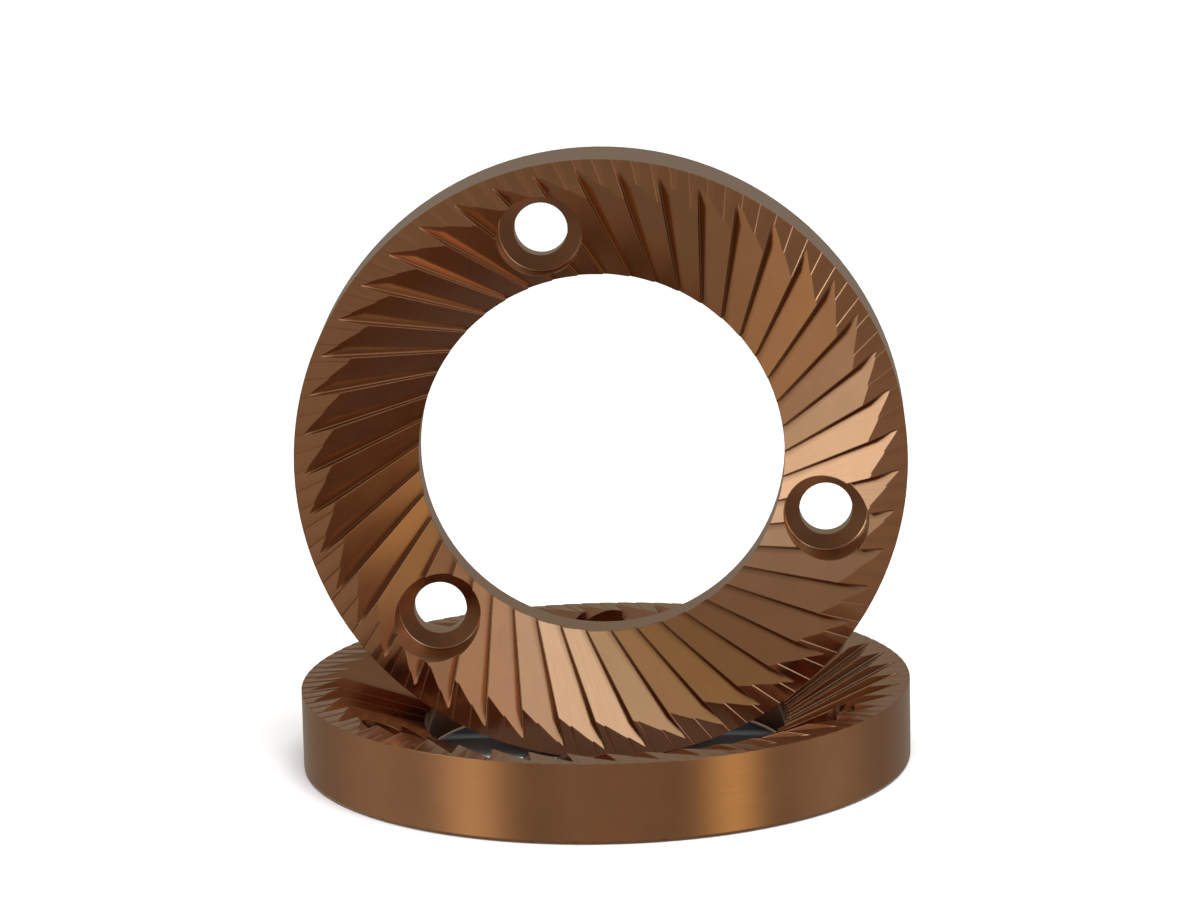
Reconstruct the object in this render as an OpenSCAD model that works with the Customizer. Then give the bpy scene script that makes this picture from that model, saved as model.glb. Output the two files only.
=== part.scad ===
// A matched pair of flat grinding burrs: two hard-coated steel rings, each with one toothed
// face, a plain back and three counterbored screw holes. One ring lies on its back with the
// teeth up; the other stands upright on its rim, in the bore of the first.
// Millimetres. Origin: middle of the lying burr's back face, +Z up, -Y is the front.

/* [Ring] */
// outside diameter of each burr
outer_d = 64; // [62:0.5:66]
// height from the back face to the toothed rim
thickness = 8.4; // [8:0.1:9]
// diameter of the open centre
bore_d = 38.4; // [37.5:0.1:39.5]
// bevel on the two edges of the back face
back_bevel = 0.35; // [0.1:0.05:0.6]

/* [Coarse teeth] */
// number of coarse teeth, three equal groups between the screws
coarse_teeth = 45; // [42:3:48]
// radius of the circle that every groove is tangent to
sweep_r = 10.7; // [9.5:0.1:12]
// radius at which a coarse groove runs out into the rim
runout_r = 31.3; // [30.6:0.1:31.6]
// how steeply a coarse groove deepens towards the bore, degrees
groove_fall = 18; // [16:0.5:19]
// tilt of the broad flank of a coarse tooth, degrees
flank_tilt = 24.8; // [23:0.2:27]
// lean of the cutting wall of a coarse tooth, degrees
wall_lean = 2; // [0:1:8]
// radius in the bottom of a coarse groove
root_r = 0.15; // [0.05:0.05:0.4]

/* [Fine teeth] */
// number of fine teeth round the rim
fine_teeth = 99; // [90:3:108]
// depth of a fine groove where it leaves the rim
fine_depth = 0.05; // [0.03:0.01:0.1]
// how much a fine groove deepens inwards, degrees
fine_fall = 0.4; // [0.1:0.1:1.2]
// tilt of the flank of a fine tooth, which faces the other way from a coarse one, degrees
fine_tilt = 2.8; // [2:0.1:4]
// lean of the short face of a fine tooth, degrees
fine_lean = 56; // [30:1:60]
// where the fine teeth start against the coarse ones, as a share of one fine tooth
fine_offset = 0.28; // [0:0.02:0.98]

/* [Screw holes] */
// number of screw holes
screw_count = 3; // [3:1:3]
// diameter of the circle through the screw holes
screw_circle_d = 48.8; // [48:0.1:49.5]
// diameter of the hole through the back
screw_d = 5.6; // [5:0.1:6]
// diameter of the pocket for the screw head
head_d = 8.9; // [8.4:0.1:9.4]
// height of the pocket's seat above the back face, at the edge of the hole
seat_height = 2.2; // [1.8:0.1:2.6]
// how much the seat falls towards the hole, degrees
seat_cone = 10; // [0:1:20]
// width of the small bevel round the edge of the seat
seat_bevel = 0.12; // [0.05:0.01:0.3]
// direction of the first screw hole, measured from the first coarse groove, degrees
screw_phase = 5.9; // [0:0.1:8]

/* [Placing] */
// turn of the lying burr about its own axis, degrees
lower_turn = 92; // [0:1:360]
// turn of the standing burr about its own axis, degrees
upper_turn = 104; // [0:1:360]
// how far the standing burr's back face is behind the middle of the lying burr
upper_back_y = 7.3; // [6:0.1:8]

/* [Hidden] */
$fn = 120;
ring_r = outer_d / 2;
bore_r = bore_d / 2;
coarse_step = 360 / coarse_teeth;
fine_step = 360 / fine_teeth;
// the blank's hollow cone shaves a narrow land along the crest of every coarse tooth
cone_r = runout_r - 4.5;          // where the cone meets the flat rim
cone_drop = 3.41;                 // how far the cone has fallen at the bore
cut_h = 2.1;                      // height of the coarse cutter's profile
fine_h = 0.5;                     // height of the fine cutter's profile
root_steps = 4;                   // flats that make up the rounded bottom of a groove
// distance from a groove's tangent point to where it crosses a circle of radius r
function along(r) = sqrt(r * r - sweep_r * sweep_r);
coarse_in = along(bore_r) - 1.6;
coarse_out = along(ring_r) + 1.5;
fine_in = along(runout_r - 4.6);
fine_out = along(ring_r) + 0.8;

// Turned blank: bevelled back, straight rim and bore, flat toothed rim, hollow cone inside it.
module blank() {
    rotate_extrude()
        polygon([
            [bore_r + back_bevel, 0], [ring_r - back_bevel, 0], [ring_r, back_bevel],
            [ring_r, thickness], [cone_r, thickness], [bore_r, thickness - cone_drop],
            [bore_r, back_bevel]
        ]);
}

// Corner of a cutter between a wall and a flank, rounded to radius rr (a sharp point if rr is 0).
function corner(tilt, lean, rr) = rr == 0 ? [[0, 0]] :
    let (half = (90 - tilt + lean) / 2, mid = 90 - lean + half, c = rr / sin(half))
    [for (i = [0 : root_steps])
        let (a = -lean - i * (90 + tilt - lean) / root_steps)
        [c * cos(mid) + rr * cos(a), c * sin(mid) + rr * sin(a)]];

// Outline of a cutter: wall on the +x side, flank rising on the -x side.
function cutter(tilt, lean, rr, h, w) =
    concat(corner(tilt, lean, rr), [[-w, w * tan(tilt)], [-w, h], [h * tan(lean), h]]);

// The same cutter, the other way round.
function turned_cutter(p) = [for (i = [len(p) - 1 : -1 : 0]) [-p[i][0], p[i][1]]];

// A straight milling cut: its bottom edge runs outwards from start to end, tangent to the sweep
// circle, rising at "fall" degrees.
module milled_groove(start, end, start_z, fall, outline) {
    translate([start, -sweep_r, start_z])
        rotate([0, -fall, 0])
            rotate([90, 0, 90])
                linear_extrude(height = (end - start) / cos(fall))
                    polygon(outline);
}

// All coarse grooves: deep at the bore, running out just inside the rim.
module coarse_grooves() {
    start_z = thickness - (along(runout_r) - coarse_in) * tan(groove_fall);
    for (k = [0 : coarse_teeth - 1])
        rotate([0, 0, k * coarse_step])
            milled_groove(coarse_in, coarse_out, start_z, groove_fall,
                          cutter(flank_tilt, wall_lean, root_r, cut_h, 3.9));
}

// All fine grooves: shallow, across the flat rim.
module fine_grooves() {
    start_z = thickness - fine_depth - (along(ring_r) - fine_in) * tan(fine_fall);
    for (k = [0 : fine_teeth - 1])
        rotate([0, 0, (k + fine_offset) * fine_step])
            milled_groove(fine_in, fine_out, start_z, fine_fall,
                          turned_cutter(cutter(fine_tilt, fine_lean, 0, fine_h, 2.6)));
}

// Counterbored holes: pocket for the head, slightly hollow seat with a bevelled edge, clearance hole.
module screw_holes() {
    edge_r = head_d / 2 - seat_bevel;
    edge_z = seat_height + (edge_r - screw_d / 2) * tan(seat_cone);
    for (k = [0 : screw_count - 1])
        rotate([0, 0, screw_phase + k * 360 / screw_count])
            translate([screw_circle_d / 2, 0, 0])
                rotate_extrude()
                    polygon([
                        [0, -1], [screw_d / 2, -1], [screw_d / 2, seat_height],
                        [edge_r, edge_z], [head_d / 2, edge_z + seat_bevel * tan(34)],
                        [head_d / 2, thickness + 1],
                        [0, thickness + 1]
                    ]);
}

// One complete burr, back face on z = 0, first screw hole on +X.
module burr() {
    rotate([0, 0, -screw_phase])
        difference() {
            blank();
            coarse_grooves();
            fine_grooves();
            screw_holes();
        }
}

// The burr that lies on its back.
module lower_burr() {
    color("peru") rotate([0, 0, lower_turn]) burr();
}

// The burr that stands on its rim, toothed face to the front.
module upper_burr() {
    color("sandybrown")
        translate([0, upper_back_y, ring_r])
            rotate([90, 0, 0])
                rotate([0, 0, upper_turn]) burr();
}

lower_burr();
upper_burr();
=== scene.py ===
import bpy
import math
from mathutils import Matrix, Vector


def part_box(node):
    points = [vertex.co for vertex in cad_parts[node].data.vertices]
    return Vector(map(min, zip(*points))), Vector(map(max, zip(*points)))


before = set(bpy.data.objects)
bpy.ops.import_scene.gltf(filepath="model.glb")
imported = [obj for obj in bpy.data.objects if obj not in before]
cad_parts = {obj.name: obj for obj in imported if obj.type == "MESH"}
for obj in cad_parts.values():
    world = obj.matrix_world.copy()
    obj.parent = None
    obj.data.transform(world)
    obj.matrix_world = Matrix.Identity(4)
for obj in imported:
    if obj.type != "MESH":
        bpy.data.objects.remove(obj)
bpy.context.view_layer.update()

# sizes in metres; both burrs are the same part
lower_low, lower_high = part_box("lower_burr")
upper_low, upper_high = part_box("upper_burr")
R = (lower_high.x - lower_low.x) / 2    # outside radius of a burr
THICKNESS = lower_high.z                # from the back to the flat rim
UPPER_BACK = upper_high.y               # how far back the standing burr's back face is
SWEEP = 0.0107                          # radius of the circle every groove is tangent to
BORE_R = 0.0192
SCREW_CIRCLE_R = 0.0244
POCKET_R = 0.00445                      # of the pocket for a screw's head
TOOTH_STEP = 2 * math.pi / 45           # 45 coarse teeth
SCREW_STEP = 2 * math.pi / 3            # three screw holes
SCREW_PHASE = math.radians(5.9)         # from the first groove to the first screw hole
LOWER_TURN = math.radians(92)           # direction of each burr's first screw hole
UPPER_TURN = math.radians(104)

MM = 0.001 / R                          # a millimetre in outside radii, as the shader counts
COPPER_DARK = (0.575, 0.315, 0.178, 1)
COPPER_PALE = (0.625, 0.345, 0.192, 1)
COPPER_LINE = (0.50, 0.265, 0.145, 1)
# painted shade colour, mixed into the coating in the groove roots and on the screw seats
COPPER_PAINTED_SHADE = (0.2, 0.095, 0.05, 1)    # in the groove roots and on the screw seats


def camera():
    """A long lens, 16 degrees above the table and 2 degrees round to the right."""
    turn = Matrix.Rotation(math.radians(2.126), 3, "Z")
    eye = turn @ Vector((0.0, -16.478, 4.788)) * R
    aim = turn @ Vector((-0.0012, 0.0, 1.0347)) * R
    roll = -0.0227
    forward = (aim - eye).normalized()
    level = forward.cross(Vector((0, 0, 1))).normalized()
    above = level.cross(forward)
    right = level * math.cos(roll) + above * math.sin(roll)
    up = above * math.cos(roll) - level * math.sin(roll)
    data = bpy.data.cameras.new("camera")
    data.sensor_width = 36.0
    data.lens = 155.6
    data.clip_start = 0.01
    data.clip_end = 20.0
    cam = bpy.data.objects.new("camera", data)
    bpy.context.scene.collection.objects.link(cam)
    place = Matrix((right, up, -forward)).transposed().to_4x4()
    place.translation = eye
    cam.matrix_world = place
    bpy.context.scene.camera = cam


class Nodes:
    """Short helper for building a shader node tree."""

    def __init__(self, tree):
        self.tree = tree
        self.tree.nodes.clear()

    def add(self, kind, **values):
        n = self.tree.nodes.new(kind)
        for k, v in values.items():
            setattr(n, k, v)
        return n

    def put(self, socket, value):
        if isinstance(value, bpy.types.NodeSocket):
            self.tree.links.new(value, socket)
        else:
            socket.default_value = value

    def math(self, op, a, b=0.0, c=0.0, clamp=False):
        n = self.add("ShaderNodeMath", operation=op, use_clamp=clamp)
        for s, v in zip(n.inputs, (a, b, c)):
            self.put(s, v)
        return n.outputs[0]

    def times(self, a, b):
        return self.math("MULTIPLY", a, b)

    def other(self, share):
        """What is left of 1 after a share from 0 to 1."""
        return self.math("SUBTRACT", 1.0, share)

    def vec(self, op, a, b=(0, 0, 0)):
        n = self.add("ShaderNodeVectorMath", operation=op)
        self.put(n.inputs[0], a)
        self.put(n.inputs[1], b)
        return n.outputs["Value"] if op in ("DOT_PRODUCT", "LENGTH") else n.outputs["Vector"]

    def xyz(self, x, y, z):
        n = self.add("ShaderNodeCombineXYZ")
        for s, v in zip(n.inputs, (x, y, z)):
            self.put(s, v)
        return n.outputs[0]

    def split(self, vector):
        n = self.add("ShaderNodeSeparateXYZ")
        self.put(n.inputs[0], vector)
        return n.outputs["X"], n.outputs["Y"], n.outputs["Z"]

    def noise(self, at, scale=1.0, detail=2.0, rough=0.5):
        n = self.add("ShaderNodeTexNoise")
        self.put(n.inputs["Vector"], at)
        n.inputs["Scale"].default_value = scale
        n.inputs["Detail"].default_value = detail
        n.inputs["Roughness"].default_value = rough
        return n.outputs["Fac"]

    def ramp(self, x, lo, hi, out_lo=0.0, out_hi=1.0):
        n = self.add("ShaderNodeMapRange")
        n.clamp = True
        self.put(n.inputs["Value"], x)
        for s, v in zip(("From Min", "From Max", "To Min", "To Max"), (lo, hi, out_lo, out_hi)):
            n.inputs[s].default_value = v
        return n.outputs[0]

    def mix(self, fac, a, b):
        n = self.add("ShaderNodeMix", data_type="RGBA")
        self.put(n.inputs["Factor"], fac)
        self.put([s for s in n.inputs if s.name == "A" and s.type == "RGBA"][0], a)
        self.put([s for s in n.inputs if s.name == "B" and s.type == "RGBA"][0], b)
        return [s for s in n.outputs if s.type == "RGBA"][0]


class BurrShader(Nodes):
    """Hard copper-brown coating on milled and turned steel, in the burr's own coordinates.

    standing is False for the lying burr; start is the direction of the burr's first groove.
    Lengths are in outside radii: x and y across the face, z from the back to the teeth.
    """

    def __init__(self, tree, standing, start):
        super().__init__(tree)
        self.standing = standing
        self.start = start
        coords = self.add("ShaderNodeTexCoord")
        self.place = coords.outputs["Object"]
        px, py, pz = self.split(self.place)
        _, ny, nz = self.split(coords.outputs["Normal"])
        self.x = self.math("DIVIDE", px, R)
        if standing:
            self.y = self.math("SUBTRACT", self.math("DIVIDE", pz, R), 1.0)
            self.z = self.math("SUBTRACT", UPPER_BACK / R, self.math("DIVIDE", py, R))
            facing = ny
        else:
            self.y = self.math("DIVIDE", py, R)
            self.z = self.math("DIVIDE", pz, R)
            facing = nz
        self.r = self.vec("LENGTH", self.xyz(self.x, self.y, 0.0))
        self.turn = self.math("ARCTAN2", self.y, self.x)
        self.level = self.math("ABSOLUTE", facing)       # 1 on faces square to the axis
        self.back = self.math("LESS_THAN", self.z, 0.2 * MM)
        self.turned = self.math("MAXIMUM", self.ramp(self.level, 0.35, 0.2), self.back)
        self.find_groove()
        self.find_pocket()

    def find_groove(self):
        """Which groove a point belongs to, and how far it is from the root of its flank."""
        lead = self.math("ARCSINE", self.math("DIVIDE", SWEEP / R, self.r, clamp=True))
        swept = self.math("SUBTRACT", self.math("ADD", self.turn, lead), self.start)
        self.tooth = self.math("FLOOR", self.math("DIVIDE", swept, TOOTH_STEP))
        self.groove_turn = self.math("MULTIPLY_ADD", self.tooth, TOOTH_STEP, self.start)
        self.local = self.math("SUBTRACT", self.turn, self.groove_turn)
        # a flank's own root is the next groove's bottom line
        root_turn = self.math("SUBTRACT", self.local, TOOTH_STEP)
        off_axis = self.times(self.times(self.r, self.math("SINE", root_turn)), -1.0)
        self.from_root = self.math("SUBTRACT", off_axis, SWEEP / R)

    def find_pocket(self):
        """Whether a point is in a screw hole, and which way it lies from that hole's axis."""
        first = self.start + SCREW_PHASE
        count = self.math("DIVIDE", self.math("SUBTRACT", self.turn, first), SCREW_STEP)
        near = self.math("MULTIPLY_ADD", self.math("ROUND", count), SCREW_STEP, first)
        ring = SCREW_CIRCLE_R / R
        self.hole_x = self.math("SUBTRACT", self.x, self.times(self.math("COSINE", near), ring))
        self.hole_y = self.math("SUBTRACT", self.y, self.times(self.math("SINE", near), ring))
        away = self.vec("LENGTH", self.xyz(self.hole_x, self.hole_y, 0.0))
        inside = self.math("LESS_THAN", away, POCKET_R / R + 0.02 * MM)
        below_rim = self.math("LESS_THAN", self.z, THICKNESS / R - 0.1 * MM)
        self.pocket = self.times(inside, below_rim)

    def lines(self):
        """Very fine tool marks: down each groove, and in rings where the burr was turned."""
        across = self.times(self.r, self.math("SINE", self.local))
        along = self.times(self.r, self.math("COSINE", self.local))
        milled = self.noise(self.xyz(self.times(across, 420.0), self.times(along, 9.0),
                                     self.times(self.tooth, 3.7)), 1.0, 3.0, 0.6)
        rings = self.noise(self.xyz(self.times(self.z, 420.0), self.times(self.r, 300.0),
                                    self.times(self.math("COSINE", self.turn), 3.0)), 1.0, 3.0, 0.6)
        return self.math("ADD", self.times(milled, self.other(self.turned)),
                         self.times(rings, self.turned))

    def tone(self, cloud, lines):
        """Coating colour: clouds and lines, with painted shade in the groove roots and on the screw
        seats.
        """
        tone = self.mix(self.ramp(cloud, 0.3, 0.7), COPPER_DARK, COPPER_PALE)
        tone = self.mix(self.ramp(lines, 0.35, 0.65, 0.0, 0.22), tone, COPPER_LINE)
        # painted shade along each groove's root, darkest at the root and fading out across the
        # flank
        painted_root_shade = self.times(self.ramp(self.from_root, 0.006, 0.026, 0.7, 0.0),
                          self.other(self.pocket))
        rim_z = THICKNESS / R
        below_rim = self.times(self.ramp(self.z, rim_z - 0.004, rim_z - 0.014),
                               self.other(self.turned))
        tone = self.mix(self.times(painted_root_shade, below_rim), tone, COPPER_PAINTED_SHADE)
        # painted shade on the flat screw seats inside the pockets
        painted_seat_shade = self.times(self.times(self.pocket, self.other(self.turned)),
                          self.ramp(self.level, 0.9, 0.95, 0.0, 0.6))
        return self.mix(painted_seat_shade, tone, COPPER_PAINTED_SHADE)

    def roughness(self, cloud, lines, grain):
        rough = self.math("ADD", self.ramp(cloud, 0.3, 0.7, 0.155, 0.185),
                          self.ramp(lines, 0.3, 0.7, -0.02, 0.03))
        return self.math("ADD", rough, self.ramp(grain, 0.3, 0.7, -0.01, 0.01))

    def across_marks(self):
        """Direction across the tool marks, the way in which the metal reflects more softly."""
        gx = self.times(self.math("SINE", self.groove_turn), -1.0)
        gy = self.math("COSINE", self.groove_turn)
        # in a screw hole: outwards from the hole's axis
        gx = self.math("MULTIPLY_ADD", self.pocket, self.math("SUBTRACT", self.hole_x, gx), gx)
        gy = self.math("MULTIPLY_ADD", self.pocket, self.math("SUBTRACT", self.hole_y, gy), gy)
        # on the back: outwards from the burr's axis; on the rim and in the bore: along it
        milled = self.other(self.turned)
        gx = self.math("MULTIPLY_ADD", gx, milled, self.times(self.back, self.x))
        gy = self.math("MULTIPLY_ADD", gy, milled, self.times(self.back, self.y))
        gz = self.math("SUBTRACT", self.turned, self.back)
        if self.standing:
            direction = self.xyz(gx, self.times(gz, -1.0), gy)
        else:
            direction = self.xyz(gx, gy, gz)
        to_world = self.add("ShaderNodeVectorTransform", vector_type="VECTOR",
                            convert_from="OBJECT", convert_to="WORLD")
        self.put(to_world.inputs[0], direction)
        return self.vec("NORMALIZE", to_world.outputs[0])

    def relief(self, lines, grain):
        """The marks as a very shallow relief, on edges rounded by a tenth of a millimetre."""
        bevel = self.add("ShaderNodeBevel", samples=4)
        bevel.inputs["Radius"].default_value = 0.0001
        bump = self.add("ShaderNodeBump")
        bump.inputs["Strength"].default_value = 0.35
        bump.inputs["Distance"].default_value = 0.000004
        self.put(bump.inputs["Height"], self.math("ADD", lines, self.times(grain, 0.2)))
        self.put(bump.inputs["Normal"], bevel.outputs[0])
        return bump.outputs[0]


def coated_steel(name, standing, start):
    mat = bpy.data.materials.new(name)
    mat.use_nodes = True
    n = BurrShader(mat.node_tree, standing, start)
    out = n.add("ShaderNodeOutputMaterial")
    bsdf = n.add("ShaderNodeBsdfPrincipled")
    n.put(out.inputs[0], bsdf.outputs[0])
    bsdf.inputs["Metallic"].default_value = 1.0
    bsdf.inputs["Anisotropic"].default_value = 0.6
    cloud = n.noise(n.place, 260.0, 3.0, 0.55)
    grain = n.noise(n.place, 9000.0, 2.0, 0.6)
    lines = n.lines()
    n.put(bsdf.inputs["Base Color"], n.tone(cloud, lines))
    n.put(bsdf.inputs["Roughness"], n.roughness(cloud, lines, grain))
    n.put(bsdf.inputs["Tangent"], n.across_marks())
    n.put(bsdf.inputs["Normal"], n.relief(lines, grain))
    return mat


def stage_piece(name, verts, faces, material):
    mesh = bpy.data.meshes.new(name)
    mesh.from_pydata(verts, [], faces)
    mesh.materials.append(material)
    ob = bpy.data.objects.new(name, mesh)
    bpy.context.scene.collection.objects.link(ob)
    return ob


def floor():
    mat = bpy.data.materials.new("floor_pale")
    mat.use_nodes = True
    paint = mat.node_tree.nodes["Principled BSDF"]
    paint.inputs["Base Color"].default_value = (0.86, 0.86, 0.86, 1)
    paint.inputs["Roughness"].default_value = 1.0
    paint.inputs["Specular IOR Level"].default_value = 0.0
    s = 3.0                        # half of its width
    ob = stage_piece("floor", [(-s, -s, 0), (s, -s, 0), (s, s, 0), (-s, s, 0)],
                     [(0, 1, 2, 3)], mat)
    ob.visible_glossy = False      # the metal shows the soft boxes and not the floor


def bore_shade(name, height, at_back, in_front):
    """A painted shadow on the floor in the lying burr's bore, from at_back to in_front.

    It stands in for real shade, because the overhead light whitens the floor there too.
    """
    mat = bpy.data.materials.new(name)
    mat.use_nodes = True
    n = Nodes(mat.node_tree)
    out = n.add("ShaderNodeOutputMaterial")
    paint = n.add("ShaderNodeBsdfPrincipled")
    n.put(out.inputs[0], paint.outputs[0])
    paint.inputs["Roughness"].default_value = 1.0
    paint.inputs["Specular IOR Level"].default_value = 0.0
    y = n.split(n.add("ShaderNodeTexCoord").outputs["Object"])[1]
    light = n.ramp(y, 0.009, 0.001)
    n.put(paint.inputs["Base Color"], n.mix(light, (*at_back, 1), (*in_front, 1)))
    spokes = 72
    radius = BORE_R - 0.0001
    angles = [j * 2 * math.pi / spokes for j in range(spokes)]
    rim = [(radius * math.cos(a), radius * math.sin(a), height) for a in angles]
    return stage_piece(name, rim, [tuple(range(spokes))], mat)


def overhead(place, size, power):
    """Soft light for the floor only; the burrs are lit by the soft boxes below."""
    data = bpy.data.lights.new("overhead", "AREA")
    data.shape = "DISK"
    data.size = size
    data.energy = power
    ob = bpy.data.objects.new("overhead", data)
    bpy.context.scene.collection.objects.link(ob)
    ob.location = place
    ob.rotation_euler = (-Vector(place)).to_track_quat("-Z", "Y").to_euler()
    ob.visible_glossy = False


# Soft boxes round the table: azimuth (0 in front, 90 to the right), height and half width in
# degrees, and colour times strength. The strengths aren't a hand-made design: they started as the
# output of a least-squares fit to the photograph, made by a separate program, and were rounded and
# partly changed. AMBIENT is from the same fit.
BOXES = {
    "key_left": (-62, 16, 12, (1.9, 2.15, 2.25)),
    "key_right": (35, 34, 9, (1.15, 1.35, 1.45)),
    "card_right": (38, 10, 10, (0.9, 0.82, 0.76)),
    "window_right": (65, 28, 10, (1.0, 0.95, 0.98)),
    "sky_right": (62, 52, 18, (0.05, 0.25, 0.42)),
    "back_left": (-112, 48, 16, (0.15, 0.15, 0.2)),
    "top_left": (-60, 52, 14, (0.24, 0.3, 0.45)),
    "top_front": (-25, 30, 12, (0.1, 0.08, 0.04)),
    "top_card": (12, 43, 11, (0.24, 0.2, 0.07)),
    "front_low": (-12, -5, 9, (0.15, 0.13, 0.1)),
    "table_left": (-50, -21, 11, (0.6, 0.49, 0.31)),
    "table_far_left": (-95, -25, 20, (0.18, 0.15, 0.12)),
    "table_front": (8, -32, 12, (0.21, 0.14, 0.11)),
    "table_right": (50, -17, 9, (0.65, 0.5, 0.22)),
    "table_far_right": (95, -20, 18, (0.15, 0.14, 0.12)),
    "behind": (180, 5, 35, (0.08, 0.1, 0.09)),
}
AMBIENT = (0.19, 0.155, 0.125)
PALE = (0.9, 0.9, 0.9, 1)        # what the camera sees beyond the floor


def studio():
    world = bpy.data.worlds.new("studio")
    world.use_nodes = True
    n = Nodes(world.node_tree)
    out = n.add("ShaderNodeOutputWorld")
    view = n.add("ShaderNodeTexCoord").outputs["Generated"]
    total = AMBIENT
    for azimuth, height, half_width, colour in BOXES.values():
        a, e = math.radians(azimuth), math.radians(height)
        towards = (math.sin(a) * math.cos(e), -math.cos(a) * math.cos(e), math.sin(e))
        # a round lobe that falls to half its strength at the half width
        k = math.log(2) / (1 - math.cos(math.radians(half_width)))
        falloff = n.math("MULTIPLY_ADD", n.vec("DOT_PRODUCT", view, towards), k, -k)
        scaled = n.add("ShaderNodeVectorMath", operation="SCALE")
        scaled.inputs[0].default_value = colour
        n.put(scaled.inputs["Scale"], n.math("EXPONENT", falloff))
        total = n.vec("ADD", scaled.outputs[0], total)
    lit = n.add("ShaderNodeBackground")
    n.put(lit.inputs[0], total)
    seen = n.add("ShaderNodeBackground")
    seen.inputs[0].default_value = PALE
    path = n.add("ShaderNodeLightPath")
    mix = n.add("ShaderNodeMixShader")
    n.put(mix.inputs[0], path.outputs["Is Camera Ray"])
    n.put(mix.inputs[1], lit.outputs[0])
    n.put(mix.inputs[2], seen.outputs[0])
    n.put(out.inputs[0], mix.outputs[0])
    bpy.context.scene.world = world


camera()
for node, standing, turn in (("lower_burr", False, LOWER_TURN), ("upper_burr", True, UPPER_TURN)):
    coat = coated_steel("coat_" + node, standing, turn - SCREW_PHASE)
    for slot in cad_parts[node].material_slots:
        slot.material = coat
floor()
# one disc for the camera, and a darker one that only reflections show
seen_shade = bore_shade("bore_shade_seen", 0.0001, (0.035, 0.038, 0.045), (0.7, 0.73, 0.77))
seen_shade.visible_glossy = False
mirrored_shade = bore_shade("bore_shade_mirrored", 0.0002, (0.05, 0.042, 0.042), (0.1, 0.08, 0.078))
mirrored_shade.visible_camera = False
mirrored_shade.visible_shadow = False
mirrored_shade.visible_diffuse = False
overhead((0.2, -0.3, 1.6), 1.4, 40)
studio()
bpy.context.scene.view_settings.view_transform = "Standard"
